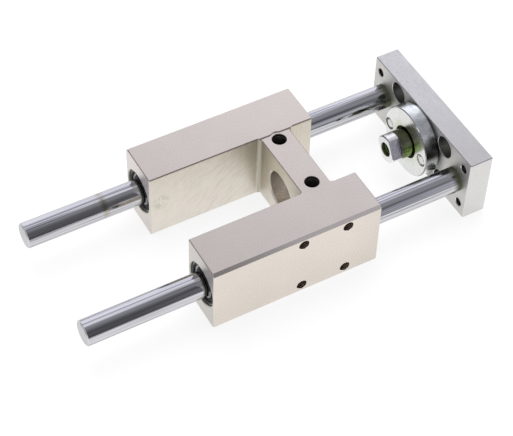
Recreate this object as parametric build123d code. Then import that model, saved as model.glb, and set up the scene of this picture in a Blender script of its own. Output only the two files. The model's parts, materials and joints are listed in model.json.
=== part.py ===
"""Guide unit for a round pneumatic cylinder, in millimetres.

An H-shaped body carries two guide rods in four linear ball bearings. The rods are
screwed to a front plate, and a floating coupling on the plate takes the piston rod.
The origin is where the nose bore's axis crosses the middle of the crossbar, +X points
to the front plate, +Y to the left rod and +Z up.
"""

import os
from math import cos, radians, sin, tan

from build123d import *

# Guide body
body_height = 36.6
rod_pitch = 61.2
arm_width = 23.3
crossbar_thickness = 14.8
cylinder_pocket_length = 56.8
nut_pocket_length = 12.4
pocket_corner_radius = 2.0
top_edge_chamfer = 1.4
bottom_edge_chamfer = 0.8
edge_break = 0.35
crossbar_recess = 0.5
recess_lip = 0.5
nose_bore_diameter = 20.0
nose_bore_chamfer = 0.7

# Tapped fixing holes of the body: M8 down the crossbar, M6 in the arms' outer sides
crossbar_hole_pitch = 29.5
crossbar_hole_core = 6.8
crossbar_hole_depth = 12.0
crossbar_hole_chamfer = 0.15
spot_face_diameter = 9.4
side_hole_core = 5.0
side_hole_depth = 12.0
side_hole_chamfer = 0.15
side_hole_pitch_x = 22.4
side_hole_pitch_z = 27.6
side_hole_front_margin = 17.0

# Linear ball bearing for a 12 mm rod
rod_diameter = 12.0
bearing_diameter = 21.0
bearing_length = 30.0
bearing_setback = 1.0
bearing_seat_clearance = 0.01
bearing_mouth_chamfer = 0.4
bearing_relief_diameter = 16.0
sleeve_bore_diameter = 17.2
sleeve_groove_spacing = 23.0
sleeve_groove_width = 1.3
sleeve_groove_depth = 0.5
sleeve_edge_chamfer = 0.3
cage_sleeve_clearance = 0.05
cage_rod_clearance = 0.35
ball_slot_count = 4
ball_slot_length = 17.0
ball_slot_width = 2.2
seal_diameter = 19.2
seal_thickness = 2.0
seal_seat_clearance = 0.02
seal_lip_clearance = 0.05
seal_groove_depth = 0.7
seal_rim_width = 0.8
seal_lip_width = 1.2

# Guide rods, with the unit part way along its stroke
rod_rear_overhang = 56.9
plate_gap = 48.3
rod_end_chamfer = 0.6
rod_seat_depth = 4.0
rod_seat_clearance = 0.01
rod_tapping_depth = 15.0

# Front plate
plate_thickness = 12.0
plate_width = 81.0
plate_height = 35.0
plate_edge_break = 0.3
plate_hole_pitch_z = 22.3
plate_tapped_edge_distance = 4.9
plate_tapped_core = 4.2
plate_tapped_chamfer = 0.3
counterbore_pitch_y = 39.8
counterbore_diameter = 10.5
counterbore_depth = 6.5
counterbore_chamfer = 0.25
counterbore_through_diameter = 6.6

# Floating coupling
flange_diameter = 35.0
flange_thickness = 7.5
flange_edge_chamfer = 0.4
flange_bore_diameter = 16.5
flange_lip = 2.5
cavity_diameter = 20.8
stud_diameter = 14.0
stud_head_diameter = 18.6
stud_head_thickness = 2.8
stud_projection = 11.1
stud_flats = 10.0
stud_flat_length = 5.3
stud_flat_angle = 148.0
stud_end_chamfer = 0.5
stud_thread_core = 6.8
stud_thread_depth = 14.0
stud_thread_chamfer = 0.4
thrust_ring_thickness = 1.0
thrust_ring_bore = 15.6
thrust_ring_diameter = 19.2
axial_play = 0.05

# Countersunk screws with a hexagon socket
rod_screw_diameter = 6.0
rod_screw_length = 20.0
rod_screw_head_diameter = 12.0
rod_screw_socket = 4.0
coupling_screw_diameter = 5.0
coupling_screw_pitch = 27.2
coupling_screw_head_diameter = 10.0
coupling_screw_socket = 3.0
screw_head_rim = 0.3
screw_tip_chamfer = 0.5
screw_sink = 0.2
clearance_hole_gap = 0.2
thread_gap = 0.02
tapping_mouth_chamfer = 0.25

# Places that follow from the sizes
rod_y = rod_pitch / 2
arm_inner_y = rod_y - arm_width / 2
arm_outer_y = rod_y + arm_width / 2
crossbar_front_x = crossbar_thickness / 2
crossbar_rear_x = -crossbar_front_x
body_rear_x = crossbar_rear_x - cylinder_pocket_length
body_front_x = crossbar_front_x + nut_pocket_length
body_length = body_front_x - body_rear_x
body_top_z = body_height / 2
crossbar_top_z = body_top_z - crossbar_recess
rod_rear_x = body_rear_x - rod_rear_overhang
plate_rear_x = body_front_x + plate_gap
plate_front_x = plate_rear_x + plate_thickness
rod_front_x = plate_rear_x + rod_seat_depth
flange_rear_x = plate_rear_x - flange_thickness
stud_end_x = flange_rear_x - stud_projection
plate_tapped_y = plate_width / 2 - plate_tapped_edge_distance
sides = {"left": 1, "right": -1}
ends = {"rear": -1, "front": 1}
drill_point_angle = 118
same_place = 0.001


def rod_along_x(radius, x_start, x_end, y=0, z=0):
    """A cylinder along X between two stations."""
    shape = Cylinder(radius, x_end - x_start, align=(Align.CENTER, Align.CENTER, Align.MIN))
    return Pos(x_start, y, z) * Rot(0, 90, 0) * shape


def turned(points, y=0, z=0):
    """A solid of revolution about an axis along X, from its (x, radius) outline."""
    outline = make_face(Plane.XZ * Polyline(*points, close=True))
    return Pos(0, y, z) * revolve(outline, Axis.X)


def hexagon_socket(width_across_flats, x_start, x_end, y=0, z=0):
    """The six-sided recess of a screw's drive."""
    outline = RegularPolygon(width_across_flats / 2, 6, major_radius=False)
    return Pos(x_start, y, z) * Rot(0, 90, 0) * extrude(outline, x_end - x_start)


def drilled_hole(core_diameter, depth, mouth_chamfer):
    """A blind hole down -Z from the origin, with a chamfered mouth and a drill point."""
    radius = core_diameter / 2
    mouth = radius + mouth_chamfer
    point = radius / tan(radians(drill_point_angle / 2))
    outline = Polyline(
        (0, 0), (mouth, 0), (radius, -mouth_chamfer), (radius, -depth), (0, -depth - point), close=True
    )
    return revolve(make_face(Plane.XZ * outline), Axis.Z)


def through_hole(diameter, length, mouth_chamfer):
    """A hole along Z through a wall centred on the origin, chamfered at both mouths."""
    radius = diameter / 2
    mouth = radius + mouth_chamfer
    half = length / 2
    outline = Polyline(
        (0, -half),
        (mouth, -half),
        (radius, mouth_chamfer - half),
        (radius, half - mouth_chamfer),
        (mouth, half),
        (0, half),
        close=True,
    )
    return revolve(make_face(Plane.XZ * outline), Axis.Z)


def pocket_outline(wall_x, length, direction):
    """A pocket open at one end, with round corners where it meets the crossbar."""
    overrun = 2 * pocket_corner_radius
    middle_x = wall_x + direction * (length + overrun) / 2
    rounded = RectangleRounded(length + overrun, 2 * arm_inner_y, pocket_corner_radius)
    return Pos(middle_x, 0) * rounded


def in_plane(edge, axis, *values):
    """True for an edge that lies in one of the planes where the coordinate has these values."""
    box = edge.bounding_box()
    low = getattr(box.min, axis)
    high = getattr(box.max, axis)
    return any(abs(low - value) < same_place and abs(high - value) < same_place for value in values)


def body_blank():
    """The H outline as a block, with its long outer edges and its recessed crossbar."""
    outline = Pos((body_rear_x + body_front_x) / 2, 0) * Rectangle(body_length, 2 * arm_outer_y)
    outline -= pocket_outline(crossbar_rear_x, cylinder_pocket_length, -1)
    outline -= pocket_outline(crossbar_front_x, nut_pocket_length, 1)
    block = extrude(outline, body_height / 2, both=True)
    for level, size in ((body_top_z, top_edge_chamfer), (-body_top_z, bottom_edge_chamfer)):
        long_edges = [
            edge
            for edge in block.edges().filter_by(Axis.X)
            if abs(abs(edge.center().Y) - arm_outer_y) < same_place and in_plane(edge, "Z", level)
        ]
        block = chamfer(long_edges, size)
    recess_length = crossbar_thickness + 2 * pocket_corner_radius
    recess_width = 2 * (arm_inner_y - recess_lip)
    for sign in (1, -1):
        cutter = Box(recess_length, recess_width, 2 * crossbar_recess)
        block -= Pos(0, 0, sign * body_top_z) * cutter
    return block


def broken_edges(block):
    """The block with a small chamfer on the edges that a machinist would break."""
    edges = []
    for edge in block.edges():
        inner = abs(edge.center().Y) < arm_outer_y - 2 * top_edge_chamfer
        arm_face_rim = in_plane(edge, "Z", body_top_z, -body_top_z) and inner
        arm_end_rim = in_plane(edge, "X", body_rear_x, body_front_x)
        crossbar_rim = in_plane(edge, "Z", crossbar_top_z, -crossbar_top_z)
        across = edge.bounding_box().size.X < same_place
        if arm_face_rim or arm_end_rim or (crossbar_rim and across):
            edges.append(edge)
    return chamfer(edges, edge_break)


def crossbar_holes():
    """The nose bore, and the tapped holes with their spot faces in the crossbar's top and bottom."""
    bore = Rot(0, 90, 0) * through_hole(nose_bore_diameter, crossbar_thickness, nose_bore_chamfer)
    hole = drilled_hole(crossbar_hole_core, crossbar_hole_depth, crossbar_hole_chamfer)
    spot_face = Cylinder(spot_face_diameter / 2, 2 * crossbar_recess)
    cutters = [bore]
    for sign in sides.values():
        y = sign * crossbar_hole_pitch / 2
        for up, turn in ((1, 0), (-1, 180)):
            cutters.append(Pos(0, y, up * crossbar_top_z) * Rot(turn, 0, 0) * hole)
            cutters.append(Pos(0, y, up * body_top_z) * spot_face)
    return cutters


def side_holes():
    """The four tapped holes in each arm's outer side."""
    hole = drilled_hole(side_hole_core, side_hole_depth, side_hole_chamfer)
    front_x = body_front_x - side_hole_front_margin
    cutters = []
    for sign in sides.values():
        for x in (front_x, front_x - side_hole_pitch_x):
            for up in (1, -1):
                z = up * side_hole_pitch_z / 2
                cutters.append(Pos(x, sign * arm_outer_y, z) * Rot(-90 * sign, 0, 0) * hole)
    return cutters


def bearing_bore(y):
    """The bore through one arm: a bearing seat at each end and a narrower middle."""
    seat = bearing_diameter / 2 + bearing_seat_clearance
    mouth = seat + bearing_mouth_chamfer
    relief = bearing_relief_diameter / 2
    depth = bearing_setback + bearing_length
    return turned(
        [
            (body_rear_x, 0),
            (body_rear_x, mouth),
            (body_rear_x + bearing_mouth_chamfer, seat),
            (body_rear_x + depth, seat),
            (body_rear_x + depth, relief),
            (body_front_x - depth, relief),
            (body_front_x - depth, seat),
            (body_front_x - bearing_mouth_chamfer, seat),
            (body_front_x, mouth),
            (body_front_x, 0),
        ],
        y,
    )


def guide_body():
    """The one-piece machined body."""
    bores = [bearing_bore(sign * rod_y) for sign in sides.values()]
    return broken_edges(body_blank()) - [*crossbar_holes(), *side_holes(), *bores]


def bearing_sleeve(x_middle, y):
    """A bearing's steel ring, with two ring grooves outside and a seal seat at each end."""
    outer = bearing_diameter / 2
    groove = outer - sleeve_groove_depth
    bore = sleeve_bore_diameter / 2
    seat = seal_diameter / 2
    half = bearing_length / 2
    groove_out = sleeve_groove_spacing / 2
    groove_in = groove_out - sleeve_groove_width
    quarter = [
        (groove_in, outer),
        (groove_in, groove),
        (groove_out, groove),
        (groove_out, outer),
        (half - sleeve_edge_chamfer, outer),
        (half, outer - sleeve_edge_chamfer),
        (half, seat),
        (half - seal_thickness, seat),
        (half - seal_thickness, bore),
    ]
    mirrored = [(-x, radius) for x, radius in reversed(quarter)]
    return Pos(x_middle, 0, 0) * turned(quarter + mirrored, y)


def ball_cage(x_middle, y):
    """A bearing's plastic cage, slotted along each row of loaded balls."""
    outer = sleeve_bore_diameter / 2 - cage_sleeve_clearance
    inner = rod_diameter / 2 + cage_rod_clearance
    length = bearing_length - 2 * seal_thickness
    tube = rod_along_x(outer, -length / 2, length / 2) - rod_along_x(inner, -length / 2, length / 2)
    slot = extrude(SlotOverall(ball_slot_length, ball_slot_width), bearing_diameter)
    slots = [Rot(360 * k / ball_slot_count, 0, 0) * slot for k in range(ball_slot_count)]
    return Pos(x_middle, y, 0) * (tube - slots)


def end_seal(x_face, y, direction):
    """A rubber end seal, dished between its rim and its lip; its outer face looks along direction."""
    rim = seal_diameter / 2 - seal_seat_clearance
    lip = rod_diameter / 2 + seal_lip_clearance
    rim_inner = rim - seal_rim_width
    lip_outer = lip + seal_lip_width
    bottom = -direction * seal_groove_depth
    back = -direction * seal_thickness
    outline = [
        (0, rim),
        (0, rim_inner),
        (bottom, rim_inner - seal_groove_depth / 2),
        (bottom, lip_outer + seal_groove_depth / 2),
        (0, lip_outer - seal_groove_depth),
        (0, lip),
        (back, lip),
        (back, rim),
    ]
    return Pos(x_face, 0, 0) * turned(outline, y)


def bearing_parts(end, side):
    """The four pieces of one linear bearing, by node name."""
    direction = ends[end]
    y = sides[side] * rod_y
    arm_end_x = body_front_x if direction > 0 else body_rear_x
    outer_x = arm_end_x - direction * bearing_setback
    inner_x = outer_x - direction * bearing_length
    middle_x = (outer_x + inner_x) / 2
    place = f"{end}_{side}"
    return {
        f"bearing_sleeve_{place}": bearing_sleeve(middle_x, y),
        f"ball_cage_{place}": ball_cage(middle_x, y),
        f"outer_seal_{place}": end_seal(outer_x, y, direction),
        f"inner_seal_{place}": end_seal(inner_x, y, -direction),
    }


def guide_rod(y):
    """A guide rod, chamfered at both ends and tapped at the front for its screw."""
    radius = rod_diameter / 2
    thread = rod_screw_diameter / 2 + thread_gap
    outline = [
        (rod_rear_x, 0),
        (rod_rear_x, radius - rod_end_chamfer),
        (rod_rear_x + rod_end_chamfer, radius),
        (rod_front_x - rod_end_chamfer, radius),
        (rod_front_x, radius - rod_end_chamfer),
        (rod_front_x, thread),
        (rod_front_x - rod_tapping_depth, thread),
        (rod_front_x - rod_tapping_depth, 0),
    ]
    return turned(outline, y)


def countersunk_screw(diameter, head_diameter, socket, x_tip, y):
    """A screw driven from the plate's front, its head sunk just below the face."""
    head_x = plate_front_x - screw_sink
    shank = diameter / 2
    head = head_diameter / 2
    rim_x = head_x - screw_head_rim
    neck_x = rim_x - (head - shank)
    outline = [
        (x_tip, 0),
        (x_tip, shank - screw_tip_chamfer),
        (x_tip + screw_tip_chamfer, shank),
        (neck_x, shank),
        (rim_x, head),
        (head_x, head),
        (head_x, 0),
    ]
    return turned(outline, y) - hexagon_socket(socket, neck_x, plate_front_x, y)


def countersink(diameter, head_diameter, x_start, y):
    """The hole through the plate for a countersunk screw."""
    shank = diameter / 2 + clearance_hole_gap
    head = head_diameter / 2 + clearance_hole_gap
    rim_x = plate_front_x - screw_sink - screw_head_rim
    outline = [
        (x_start, 0),
        (x_start, shank),
        (rim_x - (head - shank), shank),
        (rim_x, head),
        (plate_front_x, head),
        (plate_front_x, 0),
    ]
    return turned(outline, y)


def counterbore(y, z):
    """A stepped hole for a screw that is put in from behind the plate."""
    wide = counterbore_diameter / 2
    narrow = counterbore_through_diameter / 2
    outline = [
        (plate_rear_x, 0),
        (plate_rear_x, wide + counterbore_chamfer),
        (plate_rear_x + counterbore_chamfer, wide),
        (plate_rear_x + counterbore_depth, wide),
        (plate_rear_x + counterbore_depth, narrow),
        (plate_front_x, narrow),
        (plate_front_x, 0),
    ]
    return turned(outline, y, z)


def rod_seat(y):
    """The blind seat in the plate's rear face for a rod's end."""
    radius = rod_diameter / 2 + rod_seat_clearance
    return rod_along_x(radius, plate_rear_x, rod_front_x, y)


def front_plate():
    """The yoke plate with its rod seats, fixing holes and screw holes."""
    middle_x = plate_rear_x + plate_thickness / 2
    blank = Pos(middle_x, 0, 0) * Box(plate_thickness, plate_width, plate_height)
    blank = chamfer(blank.edges(), plate_edge_break)
    tapped = Rot(0, 90, 0) * through_hole(plate_tapped_core, plate_thickness, plate_tapped_chamfer)
    cutters = []
    for sign in sides.values():
        for up in (1, -1):
            z = up * plate_hole_pitch_z / 2
            cutters.append(Pos(middle_x, sign * plate_tapped_y, z) * tapped)
            cutters.append(counterbore(sign * counterbore_pitch_y / 2, z))
        cutters.append(rod_seat(sign * rod_y))
        cutters.append(countersink(rod_screw_diameter, rod_screw_head_diameter, rod_front_x, sign * rod_y))
        screw_y = sign * coupling_screw_pitch / 2
        cutters.append(
            countersink(coupling_screw_diameter, coupling_screw_head_diameter, plate_rear_x, screw_y)
        )
    return blank - cutters


def coupling_flange():
    """The round flange whose lip traps the stud's head against the plate."""
    outer = flange_diameter / 2
    bore = flange_bore_diameter / 2
    cavity = cavity_diameter / 2
    lip_x = flange_rear_x + flange_lip
    ring = turned(
        [
            (flange_rear_x, bore),
            (flange_rear_x, outer - flange_edge_chamfer),
            (flange_rear_x + flange_edge_chamfer, outer),
            (plate_rear_x, outer),
            (plate_rear_x, cavity),
            (lip_x, cavity),
            (lip_x, bore),
        ]
    )
    thread = 2 * (coupling_screw_diameter / 2 + thread_gap)
    middle_x = flange_rear_x + flange_thickness / 2
    tapped = Rot(0, 90, 0) * through_hole(thread, flange_thickness, tapping_mouth_chamfer)
    return ring - [Pos(middle_x, sign * coupling_screw_pitch / 2, 0) * tapped for sign in sides.values()]


def thrust_ring():
    """The loose ring between the flange's lip and the stud's head."""
    x_rear = flange_rear_x + flange_lip + axial_play
    x_front = x_rear + thrust_ring_thickness
    return rod_along_x(thrust_ring_diameter / 2, x_rear, x_front) - rod_along_x(
        thrust_ring_bore / 2, x_rear, x_front
    )


def stud_head_rear_x():
    """Where the stud's head starts, in front of the thrust ring."""
    return flange_rear_x + flange_lip + thrust_ring_thickness + 2 * axial_play


def thrust_disc():
    """The loose disc between the stud's head and the plate."""
    x_rear = stud_head_rear_x() + stud_head_thickness + axial_play
    return rod_along_x(stud_head_diameter / 2, x_rear, plate_rear_x - axial_play)


def coupling_stud():
    """The tapped stud for the piston rod, with two wrench flats and a trapped head."""
    radius = stud_diameter / 2
    core = stud_thread_core / 2
    head = stud_head_diameter / 2
    head_x = stud_head_rear_x()
    front_x = head_x + stud_head_thickness
    point = core / tan(radians(drill_point_angle / 2))
    stud = turned(
        [
            (stud_end_x, core + stud_thread_chamfer),
            (stud_end_x, radius - stud_end_chamfer),
            (stud_end_x + stud_end_chamfer, radius),
            (head_x, radius),
            (head_x, head),
            (front_x, head),
            (front_x, 0),
            (stud_end_x + stud_thread_depth + point, 0),
            (stud_end_x + stud_thread_depth, core),
            (stud_end_x + stud_thread_chamfer, core),
        ]
    )
    block = Box(2 * stud_flat_length, stud_diameter, stud_diameter)
    flats = []
    for turn in (0, 180):
        angle = stud_flat_angle + turn
        reach = stud_flats / 2 + stud_diameter / 2
        y = reach * cos(radians(angle))
        z = reach * sin(radians(angle))
        flats.append(Pos(stud_end_x, y, z) * Rot(angle, 0, 0) * block)
    return stud - flats


def carriage_parts():
    """The pieces that slide together, by node name."""
    parts = {"front_plate": front_plate(), "coupling_flange": coupling_flange()}
    for side, sign in sides.items():
        parts[f"guide_rod_{side}"] = guide_rod(sign * rod_y)
        parts[f"rod_screw_{side}"] = countersunk_screw(
            rod_screw_diameter,
            rod_screw_head_diameter,
            rod_screw_socket,
            plate_front_x - screw_sink - rod_screw_length,
            sign * rod_y,
        )
        parts[f"coupling_screw_{side}"] = countersunk_screw(
            coupling_screw_diameter,
            coupling_screw_head_diameter,
            coupling_screw_socket,
            flange_rear_x,
            sign * coupling_screw_pitch / 2,
        )
    return parts


def all_parts():
    """Every piece of the unit, by node name."""
    parts = {"guide_body": guide_body()}
    for end in ends:
        for side in sides:
            parts |= bearing_parts(end, side)
    parts |= carriage_parts()
    parts |= {"thrust_ring": thrust_ring(), "thrust_disc": thrust_disc(), "coupling_stud": coupling_stud()}
    return parts


os.makedirs("parts", exist_ok=True)
for name, shape in all_parts().items():
    export_step(shape, f"parts/{name}.step")
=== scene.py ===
"""The look of a cylinder guide unit: finishes, screw threads, studio and camera.

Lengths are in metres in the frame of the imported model: +X points to the front plate,
+Y to the left guide rod and +Z up. The finishes work in millimetres of that frame, and
their marks travel with the pieces.
"""

import json
from math import cos, pi, radians, sin

import bmesh
import bpy
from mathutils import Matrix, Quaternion, Vector


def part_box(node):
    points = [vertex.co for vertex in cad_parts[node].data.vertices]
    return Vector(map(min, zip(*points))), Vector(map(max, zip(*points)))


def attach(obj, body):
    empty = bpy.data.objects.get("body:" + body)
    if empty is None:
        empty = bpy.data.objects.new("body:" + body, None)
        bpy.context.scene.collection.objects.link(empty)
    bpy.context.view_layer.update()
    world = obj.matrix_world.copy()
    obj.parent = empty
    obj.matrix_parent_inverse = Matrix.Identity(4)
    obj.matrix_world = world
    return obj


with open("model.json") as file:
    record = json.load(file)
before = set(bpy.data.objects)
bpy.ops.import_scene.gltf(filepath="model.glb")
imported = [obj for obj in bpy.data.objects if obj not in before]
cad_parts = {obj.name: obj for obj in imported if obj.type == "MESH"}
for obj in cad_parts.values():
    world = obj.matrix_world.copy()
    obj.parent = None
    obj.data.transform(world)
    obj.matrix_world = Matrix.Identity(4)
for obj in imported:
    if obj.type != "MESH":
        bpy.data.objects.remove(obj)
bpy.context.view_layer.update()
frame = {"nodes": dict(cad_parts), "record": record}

mm = 0.001

# Camera, fitted to the object's edges in the photograph
aim_point = Vector((-24.375, -8.59, 0.0)) * mm
camera_place = Vector((-270.076, -426.123, 560.715)) * mm
camera_roll = radians(1.8767)
camera_lens = 115.384
camera_sensor = 36.0

# Studio: where its light comes from, as azimuth and elevation, and how bright it is
key_direction = (radians(57.5), radians(1.7))
key_levels = [
    (0.0, 0.05), (0.20, 0.10), (0.35, 0.15), (0.50, 0.33), (0.815, 0.30), (0.872, 1.19), (1.0, 1.19)
]
studio_tint = (0.955, 0.955, 1.05)
patches = [
    {"azimuth": radians(52.0), "elevation": radians(66.0), "reach": radians(17.0), "level": 0.45},
    {"azimuth": radians(-37.5), "elevation": radians(12.0), "reach": radians(38.0), "level": 0.85},
    {"azimuth": radians(-110.0), "elevation": radians(25.0), "reach": radians(32.0), "level": 0.70},
    {"azimuth": radians(180.0), "elevation": radians(38.0), "reach": radians(55.0), "level": 0.45},
]
patch_core = 0.3
floor_half = 3.0
floor_gap = 0.02 * mm
floor_glow = 0.82
floor_paper = 0.25
dimmer_floor_y = (-0.17, -0.14)
dimmer_floor_share = 0.2
lamp_place = Vector((0.25, 0.45, 1.1))
lamp_size = 1.2
lamp_power = 10.0

# Screw threads: pitch and depth of the tapped holes, by the start of their mounts' names
mounts = {mount["name"]: mount for mount in frame["record"]["mounts"]}
blind_threads = {
    "crossbar_hole": {"pitch": 1.25 * mm, "depth": 12.0 * mm},
    "side_hole": {"pitch": 1.0 * mm, "depth": 12.0 * mm},
}
plate_thread_pitch = 0.8 * mm
stud_thread_pitch = 1.25 * mm
stud_thread_depth = 14.0 * mm
thread_wall_gap = 0.02 * mm
thread_steps_per_turn = 36
thread_height_share = 0.2
thread_lead_share = 0.6

# Section of a thread's turn: inwards in crest heights, and along the hole in pitches
thread_section = ((0.0, -0.5), (1.0, -0.12), (1.0, 0.12), (0.0, 0.5))

# Places and sizes that the finishes follow, with lengths in millimetres
arm_inner_y = 18.95
arm_outer_y = 42.25
arm_chamfer = 1.4
arm_shade_x = (4.0, 19.0)
chamfer_pale_x = (-58.0, -22.0)
chamfer_fade_x = (-10.0, 19.0)
body_rear_x = -64.2
crossbar_half = 7.4
crossbar_hole_y = 14.75
hole_rings_radius = 7.0
hole_rings_radians_per_mm = 9.0
nose_bore_radius = 10.0
bearing_mouth_radius = 10.91
wall_brink_z = 17.45
wall_shade_z = (-18.0, 14.0)
corner_shade_z = (-16.0, 14.0)
corner_shade_reach = (3.0, 14.0)
paler_wall_x = -10.0
cutter_sweep_angle = radians(41.0)
cutter_sweep_x = (-55.0, -30.0)
smudge_x = -59.0
smudge_z = 1.5
smudge_radius = 4.2
rod_y = 30.6
rod_stain_x = -83.0
rod_pale_line_y = -1.0
rod_dark_line_y = 0.15
seal_lip_radius = 7.6
seal_ring_radius = 8.3
seal_shine_shift = 0.8
seal_shine_direction = (0.93, 0.37)
plate_rear_x = 68.1
plate_shade_y = (5.0, -38.0)
counterbore_y = 19.9
counterbore_z = 11.15
counterbore_radius = 5.25
flange_radius = 17.5
flange_edge_radius = 16.5
flange_rear_x = 60.6
flange_bore_radius = 8.25
flange_glint_z = 15.3
coupling_screw_y = 13.6
screw_ring_radius = 3.2
screw_ring_shift = 0.3
stud_radius = 7.0
stud_flat_reach = 4.8
stud_flats_end_x = 54.8
stud_hole_radius = 3.6
arm_thread_y = (25.0, 30.0)
plate_thread_x = (60.0, 62.0)
stud_thread_y = 5.0


class Tree:
    """A short way to add and join the nodes of one material or world."""

    def __init__(self, owner):
        owner.use_nodes = True
        self.nodes = owner.node_tree.nodes
        self.links = owner.node_tree.links
        self.nodes.clear()

    def set(self, node, key, value):
        """Sets a node's input to a value, a colour of three numbers or another node's output."""
        if isinstance(value, bpy.types.NodeSocket):
            self.links.new(value, node.inputs[key])
        elif node.inputs[key].type == "RGBA":
            node.inputs[key].default_value = (*value, 1.0)
        else:
            node.inputs[key].default_value = value

    def add(self, kind, inputs=None, **settings):
        """A node with its settings and inputs."""
        node = self.nodes.new(kind)
        for name, value in settings.items():
            setattr(node, name, value)
        for key, value in (inputs or {}).items():
            self.set(node, key, value)
        return node

    def math(self, operation, first, second=0.0, third=0.0):
        """The output of a Math node."""
        inputs = {0: first, 1: second, 2: third}
        return self.add("ShaderNodeMath", inputs, operation=operation).outputs[0]

    def times(self, first, *others):
        """The product of several values."""
        product = first
        for factor in others:
            product = self.math("MULTIPLY", product, factor)
        return product

    def highest(self, first, *others):
        """The highest of several values."""
        most = first
        for value in others:
            most = self.math("MAXIMUM", most, value)
        return most

    def size(self, value):
        """A value without its sign."""
        return self.math("ABSOLUTE", value)

    def minus(self, value, amount):
        """A value less an amount."""
        return self.math("SUBTRACT", value, amount)

    def distance(self, first, second):
        """How far a point is from the origin of two coordinates."""
        squares = self.math("MULTIPLY_ADD", second, second, self.math("MULTIPLY", first, first))
        return self.math("SQRT", squares)

    def ramp(self, factor, stops):
        """A brightness that follows the factor through its stops."""
        node = self.add("ShaderNodeValToRGB", {0: factor})
        elements = node.color_ramp.elements
        while len(elements) < len(stops):
            elements.new(1.0)
        for element, (place, level) in zip(elements, stops):
            element.position = place
            element.color = (level, level, level, 1.0)
        return node.outputs[0]

    def between(self, value, low, high, to_low=0.0, to_high=1.0, smooth=False):
        """A value carried from one range to another, and held at the ends."""
        inputs = {
            "Value": value,
            "From Min": low,
            "From Max": high,
            "To Min": to_low,
            "To Max": to_high,
        }
        kind = "SMOOTHSTEP" if smooth else "LINEAR"
        return self.add("ShaderNodeMapRange", inputs, interpolation_type=kind).outputs[0]

    def inside(self, value, limit, soft=0.1):
        """One below the limit and nothing above it."""
        return self.between(value, limit - soft, limit + soft, 1.0, 0.0)

    def near(self, value, middle, reach, soft=0.1):
        """One within reach of the middle and nothing beyond it."""
        return self.inside(self.size(self.minus(value, middle)), reach, soft)

    def mix(self, factor, first, second):
        """Two colours mixed; each is three numbers or a socket."""
        return self.add("ShaderNodeMix", {0: factor, 6: first, 7: second}, data_type="RGBA").outputs[2]

    def place(self, turn=(0.0, 0.0, 0.0), stretch=(1.0, 1.0, 1.0)):
        """Object coordinates in millimetres, turned and then scaled along each axis."""
        place = self.add("ShaderNodeTexCoord").outputs["Object"]
        turned = self.add("ShaderNodeMapping", {"Vector": place, "Rotation": turn}).outputs[0]
        scale = [factor / mm for factor in stretch]
        return self.add("ShaderNodeMapping", {"Vector": turned, "Scale": scale}).outputs[0]

    def axes(self):
        """The three object coordinates in millimetres, as sockets."""
        return self.add("ShaderNodeSeparateXYZ", {0: self.place()}).outputs

    def tilts(self):
        """The sizes of the surface normal's three parts, as sockets."""
        normal = self.add("ShaderNodeNewGeometry").outputs["True Normal"]
        size = self.add("ShaderNodeVectorMath", {0: normal}, operation="ABSOLUTE").outputs[0]
        return self.add("ShaderNodeSeparateXYZ", {0: size}).outputs

    def noise(
        self, spacing, detail, seed=0.0, roughness=0.5, stretch=(1.0, 1.0, 1.0), turn=(0.0, 0.0, 0.0)
    ):
        """Noise whose features are about spacing millimetres wide."""
        inputs = {
            "Vector": self.place(turn, stretch),
            "W": seed,
            "Scale": 1.0 / spacing,
            "Detail": detail,
            "Roughness": roughness,
        }
        return self.add("ShaderNodeTexNoise", inputs, noise_dimensions="4D").outputs[0]


def new_finish(name, metallic):
    """A material with one Principled shader."""
    material = bpy.data.materials.new(name)
    tree = Tree(material)
    shader = tree.add("ShaderNodeBsdfPrincipled", {"Metallic": metallic})
    tree.add("ShaderNodeOutputMaterial", {"Surface": shader.outputs[0]})
    return material, tree, shader


def add_bump(tree, shader, height, strength, distance):
    """Joins a height to the shader's normal."""
    inputs = {"Strength": strength, "Distance": distance, "Height": height}
    tree.set(shader, "Normal", tree.add("ShaderNodeBump", inputs).outputs[0])


def beside_rod(tree, y):
    """How far a point is along Y from the axis of the rod on its side of the object."""
    return tree.minus(y, tree.times(tree.math("SIGN", y), rod_y))


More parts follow.
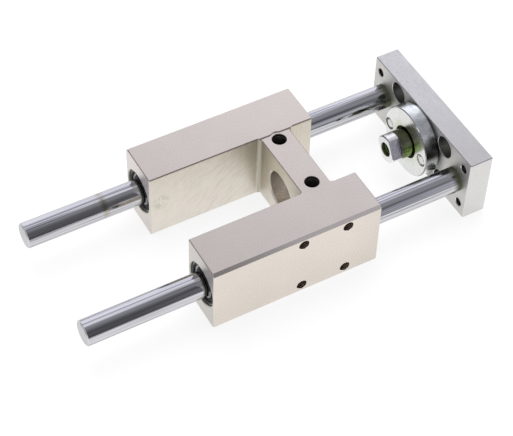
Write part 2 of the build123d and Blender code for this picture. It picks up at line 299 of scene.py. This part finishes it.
def pocket_colour(tree, bevel):
    """The milled pockets: blotched with oil, swept by the cutter, smudged, with painted shade towards
    the top and in the corners, and painted light on the rear walls.
    """
    x, y, z = tree.axes()
    across = tree.size(y)
    tilt_y, tilt_z = tree.tilts()[1:]
    wall = tree.between(tilt_y, 0.7, 0.9)
    left = tree.between(y, 0.0, 1.0)

    tint = tree.noise(7.0, 3.0, seed=3.0, stretch=(1.0, 1.0, 0.4))
    olive_blotches = tree.noise(2.2, 3.0, seed=13.0, roughness=0.6)
    milled = tree.noise(0.9, 2.0, seed=9.0, stretch=(1.0, 1.0, 0.04))
    # Painted shade: the walls darker and warmer towards the top.
    colour = tree.mix(tree.between(z, *wall_shade_z), (0.810, 0.742, 0.680), (0.735, 0.682, 0.585))
    colour = tree.mix(tree.between(tint, 0.35, 0.65, 0.0, 0.6), colour, (0.750, 0.710, 0.585))
    colour = tree.mix(tree.between(olive_blotches, 0.58, 0.72, 0.0, 0.6), colour, (0.61, 0.60, 0.45))
    colour = tree.mix(tree.between(milled, 0.48, 0.70, 0.0, 0.32), colour, (0.62, 0.58, 0.49))

    turn = (0.0, cutter_sweep_angle, 0.0)
    sweep = tree.noise(1.5, 4.0, seed=21.0, roughness=0.6, stretch=(0.25, 1.0, 1.0), turn=turn)
    to_bar = tree.between(x, *cutter_sweep_x, 0.25, 0.75)
    swept = tree.times(tree.between(sweep, 0.46, 0.64), to_bar, tree.inside(x, 0.0), wall)
    colour = tree.mix(swept, colour, (0.59, 0.55, 0.455))

    from_smudge = tree.distance(tree.minus(x, smudge_x), tree.minus(z, smudge_z))
    speck = tree.between(tree.noise(1.3, 3.0, seed=23.0), 0.42, 0.56)
    smudge = tree.times(tree.inside(from_smudge, smudge_radius, 1.2), left, speck, 0.8)
    colour = tree.mix(smudge, colour, (0.48, 0.47, 0.345))

    # Painted shade: a dark stripe along the top edge of the walls.
    brink_shade = tree.between(z, wall_brink_z - 0.15, wall_brink_z + 0.15)
    colour = tree.mix(tree.times(brink_shade, wall, 0.75), colour, (0.34, 0.29, 0.25))
    # Painted light: the walls of the rear pocket whiter than the front pocket's.
    rear_wall_light = tree.mix(0.3, colour, (1.0, 0.95, 0.90))
    colour = tree.mix(tree.inside(x, paler_wall_x, 3.0), colour, rear_wall_light)

    # Painted shade: darker towards the crossbar's corners with the arms, most near the top.
    from_wall = tree.minus(arm_inner_y, across)
    from_bar = tree.minus(-crossbar_half, x)
    from_corner = tree.math("MULTIPLY_ADD", from_bar, 1.6, from_wall)
    painted_corner_shade = tree.times(tree.between(from_corner, *corner_shade_reach, 1.0, 0.0), tree.inside(x, 0.0))
    painted_corner_shade = tree.times(painted_corner_shade, tree.between(z, *corner_shade_z, 0.18, 0.62))
    colour = tree.mix(painted_corner_shade, colour, (0.33, 0.315, 0.25))
    # Painted shade: the upright fillets in the pocket corners darker.
    fillet_shade = tree.times(bevel, tree.inside(tilt_z, 0.3), 0.75)
    return tree.mix(fillet_shade, colour, (0.45, 0.44, 0.36))


def body_anodised():
    """Satin anodised aluminium: warm, stained in the pockets, ringed at the holes, with painted shade
    at the edges, seats, bores, sides and rear faces, and painted light on the long chamfers.
    """
    material, tree, shader = new_finish("body_anodised", 1.0)
    x, y, z = tree.axes()
    across = tree.size(y)
    tilt_x, tilt_y, tilt_z = tree.tilts()
    bevel = tree.inside(tree.highest(tilt_x, tilt_y, tilt_z), 0.9, 0.03)

    cloud = tree.between(tree.noise(16.0, 3.0), 0.3, 0.7)
    colour = tree.mix(cloud, (0.755, 0.690, 0.615), (0.785, 0.720, 0.645))
    # Painted shade: the arms' outer sides darker towards the front.
    outer_side = tree.between(across, arm_outer_y - 0.05, arm_outer_y - 0.02)
    shaded = tree.times(outer_side, tree.between(x, *arm_shade_x, 0.0, 0.6))
    colour = tree.mix(shaded, colour, (0.66, 0.60, 0.545))

    upright = tree.between(tree.minus(1.0, tilt_z), 0.4, 0.8)
    pocket = tree.times(tree.inside(across, arm_inner_y + 0.1), upright)
    colour = tree.mix(pocket, colour, pocket_colour(tree, bevel))

    # Painted shade: the sawn rear faces darker, most towards the right.
    sawn = tree.times(tree.inside(x, body_rear_x + 0.05, 0.03), tilt_x)
    rear_shade_across = tree.between(y, -arm_outer_y, arm_outer_y)
    colour = tree.mix(sawn, colour, tree.mix(rear_shade_across, (0.65, 0.62, 0.58), (0.755, 0.71, 0.675)))

    from_hole = tree.distance(x, tree.minus(across, crossbar_hole_y))
    rings = tree.math("SINE", tree.times(from_hole, hole_rings_radians_per_mm))
    rings = tree.between(rings, 0.2, 0.9, 0.0, 0.22)
    fading = tree.between(from_hole, 4.3, hole_rings_radius, 1.0, 0.0)
    ringed = tree.times(fading, tree.inside(from_hole, hole_rings_radius + 0.2), rings)
    ringed = tree.times(ringed, tree.between(tilt_z, 0.9, 0.95))
    colour = tree.mix(ringed, colour, (0.55, 0.50, 0.45))

    broken = tree.times(bevel, tree.between(tilt_z, 0.3, 0.5))
    # Painted reflections on the long chamfers: whiter from the rear towards the middle, a little less
    # so at the front.
    chamfer_y = arm_outer_y - arm_chamfer
    chamfer = tree.times(broken, tree.between(across, chamfer_y, chamfer_y + 0.1))
    chamfer_light = tree.times(tree.between(x, *chamfer_pale_x), tree.between(x, *chamfer_fade_x, 1.0, 0.6))
    colour = tree.mix(chamfer, colour, tree.mix(chamfer_light, (0.69, 0.63, 0.565), (1.0, 0.93, 0.86)))
    from_axis = tree.distance(y, z)
    off_nose = tree.between(from_axis, nose_bore_radius + 0.9, nose_bore_radius + 1.0)
    # Painted shade: the other edge breaks darker, except round the nose bore.
    broken = tree.times(broken, tree.inside(across, chamfer_y - 0.1), off_nose, 0.85)
    colour = tree.mix(broken, colour, (0.36, 0.31, 0.27))

    # Painted shade: the nose bore darker inside.
    in_nose = tree.inside(from_axis, nose_bore_radius + 0.03, 0.02)
    colour = tree.mix(in_nose, colour, (0.62, 0.57, 0.50))
    # Painted shade: the walls and chamfers of the bearing seats darker.
    from_rod = tree.distance(tree.minus(across, rod_y), z)
    in_seat = tree.inside(from_rod, bearing_mouth_radius + 0.04, 0.03)
    tree.set(shader, "Base Color", tree.mix(in_seat, colour, (0.42, 0.42, 0.37)))

    satin = tree.noise(0.3, 2.0, seed=5.0)
    roughness = tree.between(satin, 0.3, 0.7, 0.25, 0.29)
    roughness = tree.math("MULTIPLY_ADD", pocket, 0.16, roughness)
    tree.set(shader, "Roughness", tree.math("MULTIPLY_ADD", sawn, 0.16, roughness))
    add_bump(tree, shader, satin, 0.02, 0.01 * mm)
    return material


def plate_aluminium():
    """Ground aluminium: cool grey, finely lined along the plate and worn, with painted shade on the
    rear face and round the flange, on the ends, edges and counterbores, and towards the right.
    """
    material, tree, shader = new_finish("plate_aluminium", 1.0)
    x, y, z = tree.axes()
    tilt_x, tilt_y, tilt_z = tree.tilts()
    lines = tree.noise(0.3, 4.0, roughness=0.6, stretch=(1.0, 0.04, 1.0))
    cloud = tree.noise(9.0, 3.0, seed=2.0)
    worn = tree.noise(1.1, 4.0, seed=19.0, roughness=0.6)
    colour = tree.mix(tree.between(cloud, 0.3, 0.7), (0.735, 0.725, 0.705), (0.770, 0.760, 0.740))
    colour = tree.mix(tree.between(lines, 0.45, 0.75, 0.0, 0.45), colour, (0.61, 0.60, 0.60))
    colour = tree.mix(tree.between(worn, 0.35, 0.62, 0.16, 0.0), colour, (0.95, 0.94, 0.93))
    colour = tree.mix(tree.between(worn, 0.52, 0.70, 0.0, 0.35), colour, (0.56, 0.55, 0.55))

    # Painted shade: the rear face darker, and much darker round the flange.
    rear = tree.times(tree.between(tilt_x, 0.7, 0.9), tree.inside(x, plate_rear_x + 0.1))
    colour = tree.mix(tree.times(rear, 0.5), colour, (0.55, 0.545, 0.51))
    from_axis = tree.distance(y, z)
    by_flange = tree.between(from_axis, flange_radius, flange_radius + 5.0, 0.8, 0.0, smooth=True)
    colour = tree.mix(tree.times(rear, by_flange), colour, (0.27, 0.27, 0.25))

    # Painted shade: the ends darker, and the top darker towards the right.
    colour = tree.mix(tree.between(tilt_y, 0.7, 0.9, 0.0, 0.5), colour, (0.68, 0.675, 0.655))
    top_shade_to_right = tree.times(tree.between(y, *plate_shade_y, 0.0, 0.6), tree.between(tilt_z, 0.7, 0.9))
    colour = tree.mix(top_shade_to_right, colour, (0.64, 0.625, 0.60))
    # Painted shade: the edge breaks dark and the counterbores darker inside.
    bevel = tree.times(tree.inside(tilt_z, 0.9, 0.03), tree.between(tilt_z, 0.3, 0.5), 0.7)
    colour = tree.mix(bevel, colour, (0.24, 0.24, 0.235))
    from_bore_y = tree.minus(tree.size(y), counterbore_y)
    from_bore_z = tree.minus(tree.size(z), counterbore_z)
    bored = tree.inside(tree.distance(from_bore_y, from_bore_z), counterbore_radius + 0.03, 0.02)
    tree.set(shader, "Base Color", tree.mix(bored, colour, (0.38, 0.38, 0.35)))

    roughness = tree.between(lines, 0.3, 0.7, 0.34, 0.46)
    tree.set(shader, "Roughness", tree.math("MULTIPLY_ADD", rear, 0.10, roughness))
    add_bump(tree, shader, lines, 0.08, 0.06 * mm)
    return material


def chromed_rod():
    """Hard chrome: a mirror with dark streaks and a stain, painted reflections and a painted whiter
    underside, painted shade at the plate, and matt ends.
    """
    material, tree, shader = new_finish("chromed_rod", 1.0)
    x, y, z = tree.axes()
    end_face = tree.between(tree.tilts()[0], 0.5, 0.8)
    facing = beside_rod(tree, y)
    left = tree.between(y, 0.0, 1.0)
    streak = tree.noise(0.8, 3.0, roughness=0.6, stretch=(0.008, 1.0, 1.0))
    broad = tree.noise(1.6, 2.0, seed=15.0, stretch=(0.006, 1.0, 1.0))
    smear_and_shade = tree.noise(2.2, 3.0, seed=7.0, stretch=(0.10, 1.0, 1.0))
    cloud = tree.noise(6.0, 3.0, seed=4.0)

    # Painted reflections: a light stripe and a dark stripe along the rods' upper side behind the body.
    rear_top = tree.times(tree.inside(x, body_rear_x), tree.between(z, 3.0, 4.0))
    tone = tree.mix(tree.between(broad, 0.40, 0.62), (0.680, 0.680, 0.700), (0.575, 0.575, 0.600))
    pale_reflection = tree.times(rear_top, tree.near(facing, rod_pale_line_y, 0.75, 0.2), 0.85)
    tone = tree.mix(pale_reflection, tone, (0.88, 0.88, 0.90))
    tone = tree.mix(tree.between(streak, 0.52, 0.62), tone, (0.34, 0.34, 0.37))
    dark_reflection = tree.times(rear_top, tree.near(facing, rod_dark_line_y, 0.3, 0.15), 0.8)
    tone = tree.mix(dark_reflection, tone, (0.30, 0.30, 0.33))
    tone = tree.mix(tree.between(smear_and_shade, 0.58, 0.80, 0.0, 0.6), tone, (0.48, 0.44, 0.38))

    blotched = tree.between(cloud, 0.40, 0.60)
    stain = tree.times(tree.near(x, rod_stain_x, 1.2, 1.0), left, blotched, 0.7)
    tone = tree.mix(stain, tone, (0.33, 0.29, 0.17))
    # Painted shade: the rods darker towards the plate. A dark speckled patch on the left rod's inner
    # side beside the flange.
    speck = tree.between(tree.noise(1.4, 3.0, seed=17.0), 0.38, 0.55)
    by_flange = tree.between(x, plate_rear_x - 7.1, plate_rear_x - 4.1)
    olive_blotches = tree.times(by_flange, tree.inside(facing, -3.0, 0.8), speck, left, 0.8)
    rod_end_shade = tree.between(x, plate_rear_x - 4.6, plate_rear_x - 1.6, 0.0, 0.92)
    shade_and_blotches = tree.highest(rod_end_shade, olive_blotches)
    tone = tree.mix(shade_and_blotches, tone, (0.13, 0.14, 0.075))
    # Painted light: the lower part of the rods whiter.
    tone = tree.mix(tree.between(z, -1.0, -2.5, 0.0, 0.6), tone, (0.82, 0.82, 0.82))

    matt = tree.mix(tree.between(cloud, 0.3, 0.7), (0.70, 0.70, 0.69), (0.76, 0.76, 0.75))
    tree.set(shader, "Base Color", tree.mix(end_face, tone, matt))
    polish = tree.between(streak, 0.3, 0.7, 0.06, 0.13)
    polish = tree.math("MULTIPLY_ADD", shade_and_blotches, 0.25, polish)
    tree.set(shader, "Roughness", tree.math("MULTIPLY_ADD", end_face, 0.34, polish))
    tree.set(shader, "Specular Tint", (0.70, 0.70, 0.72))
    add_bump(tree, shader, streak, 0.10, 0.02 * mm)
    return material


def flange_rim_colour(tree, wave):
    """The flange's rim: mottled, with a painted dark reflection on the right and painted shade where
    it meets the plate.
    """
    x, y, z = tree.axes()
    colour = tree.mix(tree.between(wave, 0.38, 0.62), (0.905, 0.935, 0.910), (0.695, 0.725, 0.730))
    # Painted dark reflection: a black band on the rim's near side, between about 2 and 10 mm up.
    low = tree.between(z, 8.5, 12.5, 0.9, 0.0, smooth=True)
    smear_and_shade = tree.times(low, tree.inside(y, -9.0, 3.0), tree.between(z, 0.5, 3.8))
    colour = tree.mix(smear_and_shade, colour, (0.085, 0.085, 0.085))
    # Painted shade: a black stripe where the rim meets the plate, from just below the axis upwards.
    at_plate = tree.between(x, plate_rear_x - 1.1, plate_rear_x - 0.7)
    contact_shade = tree.times(at_plate, tree.between(z, -4.0, 0.0), 0.8)
    return tree.mix(contact_shade, colour, (0.03, 0.03, 0.03))


def from_coupling_screws(tree, y, z):
    """How far a point is from the nearer of the two rings of painted shade round the coupling's
    screws.
    """
    height = tree.math("ADD", z, screw_ring_shift)
    from_right = tree.distance(tree.minus(y, screw_ring_shift - coupling_screw_y), height)
    from_left = tree.distance(tree.minus(y, screw_ring_shift + coupling_screw_y), height)
    return tree.math("MINIMUM", from_right, from_left)


def stud_colour(tree, flange_tone, from_axis, turned, tint, cloud):
    """The flange's tone with the stud's laid over it, painted shade at the neck, shoulder and hole,
    and where the stud's flats are.
    """
    x, y, z = tree.axes()
    tilt_x = tree.tilts()[0]
    on_end = tree.inside(x, stud_flats_end_x)

    in_bore = tree.inside(from_axis, flange_bore_radius + 0.05)
    in_bore = tree.times(tree.inside(x, flange_rear_x + 3.0), in_bore)
    neck = tree.times(in_bore, tree.between(x, stud_flats_end_x - 0.1, stud_flats_end_x + 0.1))
    # Painted shade: the neck in the flange's bore dark, green-tinted on the right, with darker
    # blotches.
    neck_shade = tree.mix(tree.inside(y, 1.0, 0.5), (0.10, 0.105, 0.08), (0.21, 0.30, 0.09))
    neck_shade = tree.mix(tree.between(z, 2.5, 5.0), neck_shade, (0.15, 0.155, 0.11))
    neck_shade = tree.mix(tree.between(tint, 0.45, 0.6, 0.0, 0.6), neck_shade, (0.07, 0.085, 0.03))
    colour = tree.mix(neck, flange_tone, neck_shade)

    flats = tree.times(turned, tree.inside(from_axis, stud_radius - 0.15), on_end)
    flats = tree.times(flats, tree.between(from_axis, stud_flat_reach, stud_flat_reach + 0.1))
    speckled = tree.mix(tree.between(cloud, 0.40, 0.62), (0.93, 0.90, 0.97), (0.66, 0.65, 0.70))
    colour = tree.mix(flats, colour, speckled)
    rounds = tree.times(turned, on_end, tree.between(from_axis, stud_radius - 0.2, stud_radius - 0.1))
    colour = tree.mix(rounds, colour, (0.92, 0.92, 0.91))

    # Painted shade: the shoulder where the flats end nearly black.
    shoulder = tree.times(tree.between(tilt_x, 0.9, 0.95), tree.inside(from_axis, stud_radius + 0.1))
    shoulder = tree.times(shoulder, tree.between(x, stud_flats_end_x - 0.2, stud_flats_end_x - 0.1))
    colour = tree.mix(shoulder, colour, (0.06, 0.06, 0.06))
    # Painted shade: the walls of the stud's hole dark and green-tinted.
    in_hole = tree.times(tree.inside(from_axis, stud_hole_radius), tree.inside(tilt_x, 0.9))
    return tree.mix(in_hole, colour, (0.10, 0.12, 0.05)), flats


def plated_steel():
    """Bright zinc plate: blotched, green with oil at the bore, with painted shade and painted glints
    at the edges.
    """
    material, tree, shader = new_finish("plated_steel", 1.0)
    x, y, z = tree.axes()
    tilt_x = tree.tilts()[0]
    from_axis = tree.distance(y, z)
    turned = tree.inside(tilt_x, 0.3)
    tint = tree.noise(4.0, 3.0, seed=1.0)
    cloud = tree.noise(1.2, 4.0, seed=6.0, roughness=0.6)
    wave = tree.noise(2.6, 2.0, seed=12.0)
    colour = tree.mix(tree.between(tint, 0.35, 0.65), (0.790, 0.800, 0.765), (0.815, 0.820, 0.820))
    colour = tree.mix(tree.between(cloud, 0.52, 0.78, 0.0, 0.4), colour, (0.64, 0.66, 0.60))
    rim = tree.times(turned, tree.between(from_axis, flange_radius - 0.2, flange_radius - 0.1))
    colour = tree.mix(rim, colour, flange_rim_colour(tree, wave))

    by_bore = tree.between(from_axis, flange_bore_radius, flange_bore_radius + 4.5, 1.0, 0.0)
    on_flange = tree.between(x, flange_rear_x - 0.3, flange_rear_x - 0.1)
    green = tree.times(by_bore, tree.between(tint, 0.35, 0.65, 0.3, 0.9), on_flange)
    colour = tree.mix(green, colour, (0.58, 0.62, 0.44))
    # Painted shade: dark rings round the coupling screws, set off to one side.
    screw_ring = tree.inside(from_coupling_screws(tree, y, z), screw_ring_radius, 0.04)
    colour = tree.mix(screw_ring, colour, (0.07, 0.07, 0.06))

    # Painted shade and highlights: the edge breaks dark, with white glints on the near side at the top
    # and low down, where the outer edge is also made non-metallic.
    broken = tree.times(tree.inside(tilt_x, 0.9, 0.03), tree.between(tilt_x, 0.3, 0.5))
    glint = tree.highest(tree.near(z, flange_glint_z, 0.6, 0.2), tree.between(z, 4.0, 7.0, 1.0, 0.0))
    glint = tree.times(glint, tree.inside(y, 0.0))
    edge = tree.mix(glint, (0.22, 0.22, 0.21), (0.98, 0.98, 0.97))
    colour = tree.mix(tree.times(broken, 0.8), colour, edge)
    at_edge = tree.between(from_axis, flange_edge_radius, flange_edge_radius + 0.3)
    glint = tree.times(glint, broken, at_edge)
    tree.set(shader, "Metallic", tree.minus(1.0, glint))

    colour, flats = stud_colour(tree, colour, from_axis, turned, tint, cloud)
    tree.set(shader, "Base Color", colour)
    roughness = tree.between(cloud, 0.3, 0.7, 0.20, 0.34)
    tree.set(shader, "Roughness", tree.math("MULTIPLY_ADD", flats, 0.18, roughness))
    add_bump(tree, shader, tree.math("MULTIPLY_ADD", wave, 2.0, cloud), 0.14, 0.06 * mm)
    return material


def screw_steel():
    """Bright screw steel, a little rougher than the plated pieces."""
    material, tree, shader = new_finish("screw_steel", 1.0)
    cloud = tree.noise(0.9, 4.0, seed=8.0, roughness=0.6)
    tone = tree.mix(tree.between(cloud, 0.35, 0.7), (0.76, 0.77, 0.74), (0.66, 0.67, 0.64))
    tree.set(shader, "Base Color", tone)
    tree.set(shader, "Roughness", tree.between(cloud, 0.3, 0.7, 0.24, 0.38))
    add_bump(tree, shader, cloud, 0.10, 0.05 * mm)
    return material


def bearing_steel():
    """Ground bearing steel: darker, finely ringed."""
    material, tree, shader = new_finish("bearing_steel", 1.0)
    rings = tree.noise(0.25, 3.0, stretch=(1.0, 0.2, 0.2))
    tone = tree.mix(tree.between(rings, 0.3, 0.7), (0.13, 0.13, 0.125), (0.21, 0.21, 0.20))
    tree.set(shader, "Base Color", tone)
    tree.set(shader, "Roughness", tree.between(rings, 0.3, 0.7, 0.22, 0.36))
    return material


def cage_plastic():
    """The black moulded plastic of the ball cages."""
    material, tree, shader = new_finish("cage_plastic", 0.0)
    grain = tree.noise(0.4, 3.0)
    tone = tree.mix(tree.between(grain, 0.3, 0.7), (0.025, 0.025, 0.027), (0.04, 0.04, 0.042))
    tree.set(shader, "Base Color", tone)
    tree.set(shader, "Roughness", tree.between(grain, 0.3, 0.7, 0.35, 0.5))
    add_bump(tree, shader, grain, 0.1, 0.05 * mm)
    return material


def seal_rubber():
    """The black rubber of the bearing seals, with a grey ring and two painted highlights on the lip.
    """
    material, tree, shader = new_finish("seal_rubber", 0.0)
    y, z = tree.axes()[1:]
    grain = tree.noise(0.5, 3.0, seed=2.0)
    tone = tree.mix(tree.between(grain, 0.3, 0.7), (0.008, 0.008, 0.008), (0.014, 0.013, 0.012))
    facing = beside_rod(tree, y)
    ring = tree.near(tree.distance(facing, z), seal_ring_radius, 0.2, 0.1)
    tone = tree.mix(tree.times(ring, 0.6), tone, (0.30, 0.30, 0.29))
    # Painted highlights: two light patches on the seal's lip, beside the rod above and below.
    shifted = tree.minus(facing, seal_shine_shift)
    on_lip = tree.inside(tree.distance(shifted, z), seal_lip_radius)
    along_y, along_z = seal_shine_direction
    slant = tree.math("MULTIPLY_ADD", shifted, along_y, tree.times(z, along_z))
    shine = tree.times(on_lip, tree.between(tree.size(slant), 6.0, 6.4))
    tree.set(shader, "Base Color", tree.mix(shine, tone, (0.85, 0.86, 0.84)))
    tree.set(shader, "Roughness", tree.between(grain, 0.3, 0.7, 0.30, 0.45))
    tree.set(shader, "IOR", 1.15)
    add_bump(tree, shader, grain, 0.15, 0.08 * mm)
    return material


def cut_thread():
    """Oily cut metal: brown in the arms' holes, green in the stud's, and painted nearly black as shade
    in the plate's.
    """
    material, tree, shader = new_finish("cut_thread", 1.0)
    x, y = tree.axes()[:2]
    across = tree.size(y)
    cloud = tree.noise(0.5, 3.0, seed=11.0, roughness=0.6)
    tone = tree.mix(tree.between(cloud, 0.35, 0.65), (0.13, 0.125, 0.11), (0.30, 0.285, 0.25))
    in_arm = tree.times(tree.between(across, *arm_thread_y, 0.0, 0.6), tree.inside(x, 40.0))
    tone = tree.mix(in_arm, tone, (0.38, 0.29, 0.22))
    # Painted shade: the threads in the plate's holes nearly black.
    tone = tree.mix(tree.between(x, *plate_thread_x, 0.0, 0.7), tone, (0.03, 0.03, 0.026))
    tone = tree.mix(tree.times(tree.inside(across, stud_thread_y), 0.6), tone, (0.20, 0.30, 0.07))
    tree.set(shader, "Base Color", tone)
    tree.set(shader, "Roughness", tree.between(cloud, 0.3, 0.7, 0.30, 0.5))
    return material


def finish_frame():
    """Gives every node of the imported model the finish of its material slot."""
    makers = {
        "body_anodised": body_anodised,
        "plate_aluminium": plate_aluminium,
        "chromed_rod": chromed_rod,
        "plated_steel": plated_steel,
        "screw_steel": screw_steel,
        "bearing_steel": bearing_steel,
        "cage_plastic": cage_plastic,
        "seal_rubber": seal_rubber,
    }
    finishes = {slot: make() for slot, make in makers.items()}
    for subpart in frame["record"]["subparts"]:
        node = frame["nodes"][subpart["node"]]
        for slot in node.material_slots:
            slot.material = finishes[subpart["material_slot"]]


def thread_liner(name, mouth, outward, radius, pitch, depth, blind):
    """The helical wall of a tapped hole, from its mouth inwards, with a cone at a blind end."""
    crest = thread_height_share * pitch
    turns = depth / pitch - 2 * thread_lead_share
    steps = int(turns * thread_steps_per_turn)
    turn = Vector((0, 0, 1)).rotation_difference(outward)
    build = bmesh.new()

    def point(reach, angle, along):
        local = Vector((reach * cos(angle), reach * sin(angle), along))
        return build.verts.new(mouth + turn @ local)

    rows = []
    for step in range(steps + 1):
        angle = 2 * pi * step / thread_steps_per_turn
        along = -pitch * (thread_lead_share + step / thread_steps_per_turn)
        fade = min(1.0, step / thread_steps_per_turn, (steps - step) / thread_steps_per_turn)
        rows.append([
            point(radius - inward * crest * fade, angle, along + offset * pitch)
            for inward, offset in thread_section
        ])
    for row, after in zip(rows, rows[1:]):
        for k in range(len(thread_section) - 1):
            build.faces.new((row[k], row[k + 1], after[k + 1], after[k]))
    if blind:
        tip = point(0.0, 0.0, -depth - radius / 2)
        angles = [2 * pi * step / thread_steps_per_turn for step in range(thread_steps_per_turn)]
        rim = [point(radius, angle, -depth) for angle in angles]
        for start, end in zip(rim, rim[1:] + rim[:1]):
            build.faces.new((start, end, tip))
    mesh = bpy.data.meshes.new(name)
    build.to_mesh(mesh)
    build.free()
    mesh.shade_smooth()
    piece = bpy.data.objects.new(name, mesh)
    bpy.context.scene.collection.objects.link(piece)
    return piece


def dress_piece(piece, finish, body):
    """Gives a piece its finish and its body."""
    piece.data.materials.append(finish)
    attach(piece, body)


def blind_hole_threads(finish):
    """The threads of the crossbar's and the arms' tapped holes."""
    for start, size in blind_threads.items():
        for name, mount in mounts.items():
            if name.startswith(start):
                outward = Vector(mount["axis"])
                mouth = Vector(mount["pos_m"]) + outward * size["depth"] / 2
                radius = mount["dims"]["r_mm"] * mm - thread_wall_gap
                label = name.replace("hole", "thread")
                piece = thread_liner(label, mouth, outward, radius, size["pitch"], size["depth"], True)
                dress_piece(piece, finish, "housing")


def plate_threads(finish):
    """The threads of the plate's four tapped holes, which go right through it."""
    low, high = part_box("front_plate")
    depth = high.x - low.x
    outward = Vector((-1, 0, 0))
    pattern = mounts["plate_tapped_holes"]["dims"]
    radius = pattern["hole_r_mm"] * mm - thread_wall_gap
    for side, sign in (("left", 1), ("right", -1)):
        for level, up in (("top", 1), ("bottom", -1)):
            y = sign * pattern["spacing_x_mm"] / 2 * mm
            z = up * pattern["spacing_y_mm"] / 2 * mm
            name = f"plate_thread_{side}_{level}"
            mouth = Vector((low.x, y, z))
            piece = thread_liner(name, mouth, outward, radius, plate_thread_pitch, depth, False)
            dress_piece(piece, finish, "carriage")


def stud_thread(finish):
    """The thread in the stud's end."""
    stud = mounts["rod_thread"]
    mouth = Vector((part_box("coupling_stud")[0].x, 0, 0))
    outward = Vector(stud["axis"])
    radius = stud["dims"]["r_mm"] * mm - thread_wall_gap
    piece = thread_liner(
        "stud_thread", mouth, outward, radius, stud_thread_pitch, stud_thread_depth, True
    )
    dress_piece(piece, finish, "stud")


def white_floor():
    """A white floor that keeps the shadow and shows white in the metal, less so far to the right."""
    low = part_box("guide_body")[0].z - floor_gap
    corners = [(-1, -1), (1, -1), (1, 1), (-1, 1)]
    mesh = bpy.data.meshes.new("floor")
    mesh.from_pydata([(x * floor_half, y * floor_half, low) for x, y in corners], [], [(0, 1, 2, 3)])
    floor = bpy.data.objects.new("floor", mesh)
    bpy.context.scene.collection.objects.link(floor)
    material = bpy.data.materials.new("floor_white")
    tree = Tree(material)
    path = tree.add("ShaderNodeLightPath")
    place = tree.add("ShaderNodeTexCoord").outputs["Object"]
    across = tree.add("ShaderNodeSeparateXYZ", {0: place}).outputs[1]
    dimmed = tree.between(across, *dimmer_floor_y, dimmer_floor_share, 1.0)
    mirrored = tree.times(path.outputs["Is Glossy Ray"], dimmed)
    seen = tree.highest(path.outputs["Is Camera Ray"], mirrored, path.outputs["Is Transmission Ray"])
    strength = tree.times(seen, floor_glow)
    glow = tree.add("ShaderNodeEmission", {"Color": (1.0, 1.0, 1.0), "Strength": strength})
    paper = tree.add("ShaderNodeBsdfDiffuse", {"Color": (floor_paper, floor_paper, floor_paper)})
    both = tree.add("ShaderNodeAddShader", {0: glow.outputs[0], 1: paper.outputs[0]})
    tree.add("ShaderNodeOutputMaterial", {"Surface": both.outputs[0]})
    mesh.materials.append(material)


def direction(azimuth, elevation):
    """A unit vector towards a point of the studio's dome."""
    level = cos(elevation)
    return Vector((level * cos(azimuth), level * sin(azimuth), sin(elevation)))


def studio():
    """A dome that is white to the camera, and whose light is a graded key with soft patches."""
    world = bpy.data.worlds.new("studio")
    bpy.context.scene.world = world
    tree = Tree(world)
    way = tree.add("ShaderNodeTexCoord").outputs["Generated"]

    def facing(azimuth, elevation):
        inputs = {0: way, 1: direction(azimuth, elevation)}
        return tree.add("ShaderNodeVectorMath", inputs, operation="DOT_PRODUCT").outputs["Value"]

    light = tree.ramp(tree.between(facing(*key_direction), -1.0, 1.0), key_levels)
    for patch in patches:
        edge = cos(patch["reach"])
        core = cos(patch_core * patch["reach"])
        toward = facing(patch["azimuth"], patch["elevation"])
        glow = tree.between(toward, edge, core, 0.0, patch["level"], smooth=True)
        light = tree.math("ADD", light, glow)
    lit = tree.add("ShaderNodeBackground", {"Color": studio_tint, "Strength": light})
    white = tree.add("ShaderNodeBackground", {"Color": (1.0, 1.0, 1.0), "Strength": 1.0})
    to_camera = tree.add("ShaderNodeLightPath").outputs["Is Camera Ray"]
    shown = tree.add("ShaderNodeMixShader", {0: to_camera, 1: lit.outputs[0], 2: white.outputs[0]})
    tree.add("ShaderNodeOutputWorld", {"Surface": shown.outputs[0]})


def overhead_lamp():
    """A large soft lamp for the matt surfaces and the floor's shadow."""
    light = bpy.data.lights.new("overhead_softbox", "AREA")
    light.size = lamp_size
    light.energy = lamp_power
    lamp = bpy.data.objects.new("overhead_softbox", light)
    lamp.location = lamp_place
    lamp.rotation_mode = "QUATERNION"
    lamp.rotation_quaternion = (aim_point - lamp_place).to_track_quat("-Z", "Y")
    lamp.visible_glossy = False
    bpy.context.scene.collection.objects.link(lamp)


def camera():
    """The camera at the photograph's place and angle."""
    data = bpy.data.cameras.new("camera")
    data.lens = camera_lens
    data.sensor_width = camera_sensor
    data.clip_start = 0.01
    data.clip_end = 20.0
    eye = bpy.data.objects.new("camera", data)
    eye.location = camera_place
    eye.rotation_mode = "QUATERNION"
    level = (aim_point - camera_place).to_track_quat("-Z", "Y")
    eye.rotation_quaternion = level @ Quaternion((0, 0, 1), camera_roll)
    bpy.context.scene.collection.objects.link(eye)
    bpy.context.scene.camera = eye


finish_frame()
thread_finish = cut_thread()
blind_hole_threads(thread_finish)
plate_threads(thread_finish)
stud_thread(thread_finish)
white_floor()
studio()
overhead_lamp()
camera()

bpy.context.scene.view_settings.view_transform = "Standard"
